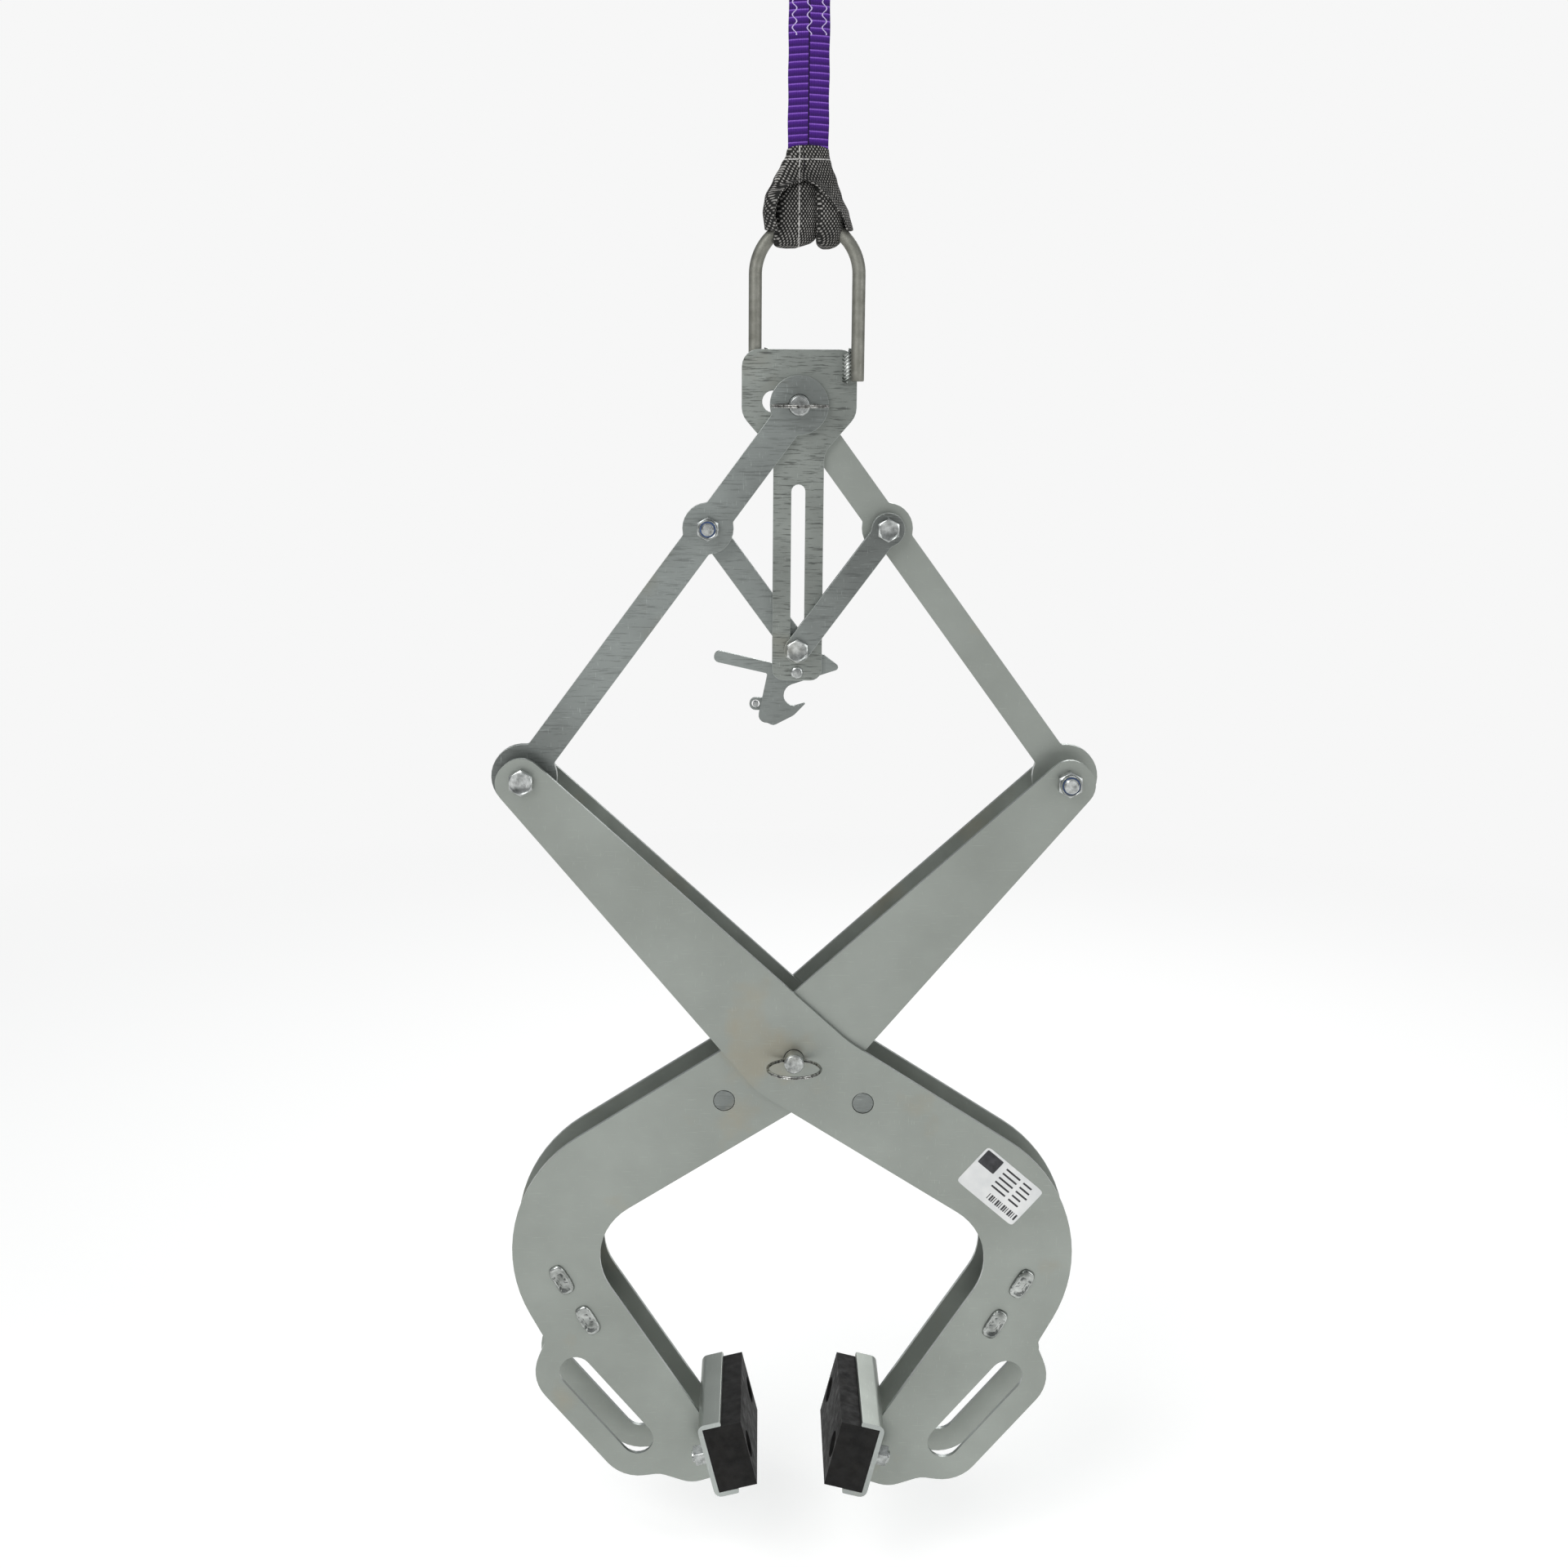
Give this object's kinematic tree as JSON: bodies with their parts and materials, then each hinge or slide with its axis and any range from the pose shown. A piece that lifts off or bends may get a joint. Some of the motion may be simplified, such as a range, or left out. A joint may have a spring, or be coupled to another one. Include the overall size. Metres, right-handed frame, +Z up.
{
  "type": "scissor block grab",
  "caption": "Scissor grab for stone blocks: a bow and slotted guide plate over crossing twin-plate arms with rubber-faced jaws, a hold-open latch and a short webbing sling.",
  "frame": {"origin": "centre of the bow's rod at its crown, where the sling carries it", "axes": "+X to the right arm's eye, +Y to the back, +Z up along the sling"},
  "size_m": [0.4814, 0.1333, 1.3117],
  "materials": {
    "zinc_plate": "zinc plated, satin",
    "zinc_link": "darker passivated zinc",
    "zinc_bright": "bright zinc",
    "rubber": "matt black",
    "webbing": "woven polyester",
    "sleeve": "woven wear sleeve"
  },
  "bodies": {
    "frame": {"bow": "zinc_plate", "bow_weld_left": "zinc_plate", "bow_weld_right": "zinc_plate", "sling_webbing": "webbing", "sling_eye": "webbing", "sling_sleeve": "sleeve", "guide_plate": "zinc_link", "top_pin": "zinc_bright", "latch_rivet": "zinc_bright"},
    "top_ring": {"top_pin_ring": "zinc_bright"},
    "hub_ring": {"hub_pin_ring": "zinc_bright"},
    "latch": {"latch_plate": "zinc_link", "latch_lug": "zinc_link", "latch_lug_pin": "zinc_bright"},
    "left_short": {"left_short_link": "zinc_link"},
    "right_short": {"right_short_link": "zinc_link", "slider_bolt": "zinc_bright", "slider_nut": "zinc_bright"},
    "left_link": {"left_link": "zinc_link", "left_boss_bolt": "zinc_bright", "left_boss_nut": "zinc_bright", "left_boss_spacer": "zinc_bright"},
    "left_arm": {"left_arm_outer_plate": "zinc_plate", "left_arm_inner_plate": "zinc_plate", "left_arm_outer_button": "zinc_link", "left_arm_inner_button": "zinc_link", "left_arm_web": "zinc_plate", "left_jaw_bracket": "zinc_plate", "left_jaw_pad": "rubber", "left_pad_bolt_front": "zinc_bright", "left_pad_nut_front": "zinc_bright", "left_pad_bolt_back": "zinc_bright", "left_pad_nut_back": "zinc_bright", "left_eye_spacer_short": "zinc_bright", "left_eye_spacer_long": "zinc_bright", "left_eye_bolt": "zinc_bright", "left_eye_nut": "zinc_bright", "hub_pin": "zinc_bright", "hub_washer": "zinc_bright"},
    "right_link": {"right_link": "zinc_link", "right_boss_bolt": "zinc_bright", "right_boss_nut": "zinc_bright", "right_boss_spacer": "zinc_bright"},
    "right_arm": {"right_arm_outer_plate": "zinc_plate", "right_arm_inner_plate": "zinc_plate", "right_arm_outer_button": "zinc_link", "right_arm_inner_button": "zinc_link", "right_arm_web": "zinc_plate", "right_jaw_bracket": "zinc_plate", "right_jaw_pad": "rubber", "right_pad_bolt_front": "zinc_bright", "right_pad_nut_front": "zinc_bright", "right_pad_bolt_back": "zinc_bright", "right_pad_nut_back": "zinc_bright", "right_eye_spacer_short": "zinc_bright", "right_eye_spacer_long": "zinc_bright", "right_eye_bolt": "zinc_bright", "right_eye_nut": "zinc_bright"}
  },
  "joints": [
    {"name": "open", "type": "hinge", "parent": "frame", "child": "left_link", "pos_m": [-0.005, 0, -0.136], "axis": [0, 1, 0], "range_deg": [0, 22.67]},
    {"name": "right_link_turn", "type": "hinge", "parent": "frame", "child": "right_link", "pos_m": [-0.005, 0, -0.136], "axis": [0, 1, 0], "range_deg": [-22.72, 0]},
    {"name": "left_short_turn", "type": "hinge", "parent": "left_link", "child": "left_short", "pos_m": [-0.07459, 0, -0.23005], "axis": [0, 1, 0], "range_deg": [-45.44, 0]},
    {"name": "right_short_turn", "type": "hinge", "parent": "right_link", "child": "right_short", "pos_m": [0.06459, 0, -0.23005], "axis": [0, 1, 0], "range_deg": [0, 45.44]},
    {"name": "left_arm_turn", "type": "hinge", "parent": "left_link", "child": "left_arm", "pos_m": [-0.21973, 0, -0.42619], "axis": [0, 1, 0], "range_deg": [-62.08, 0]},
    {"name": "right_arm_turn", "type": "hinge", "parent": "right_link", "child": "right_arm", "pos_m": [0.20973, 0, -0.42619], "axis": [0, 1, 0], "range_deg": [0, 62.08]},
    {"name": "latch_turn", "type": "hinge", "parent": "frame", "child": "latch", "pos_m": [-0.005, 0, -0.3426], "axis": [0, 1, 0], "range_deg": [0, 32]},
    {"name": "top_ring_turn", "type": "hinge", "parent": "frame", "child": "top_ring", "pos_m": [-0.005, -0.0119, -0.136], "axis": [1, 0, 0], "range_deg": [-85, 85]},
    {"name": "hub_ring_turn", "type": "hinge", "parent": "left_arm", "child": "hub_ring", "pos_m": [-0.005, -0.0304, -0.65323], "axis": [1, 0, 0], "range_deg": [-85, 85]}
  ],
  "couplings": [
    {"joint": "right_link_turn", "follows": "open", "ratio": -1},
    {"joint": "left_short_turn", "follows": "open", "ratio": -2},
    {"joint": "right_short_turn", "follows": "open", "ratio": 2},
    {"joint": "left_arm_turn", "follows": "open", "ratio": -2.7341},
    {"joint": "right_arm_turn", "follows": "open", "ratio": 2.7341}
  ]
}
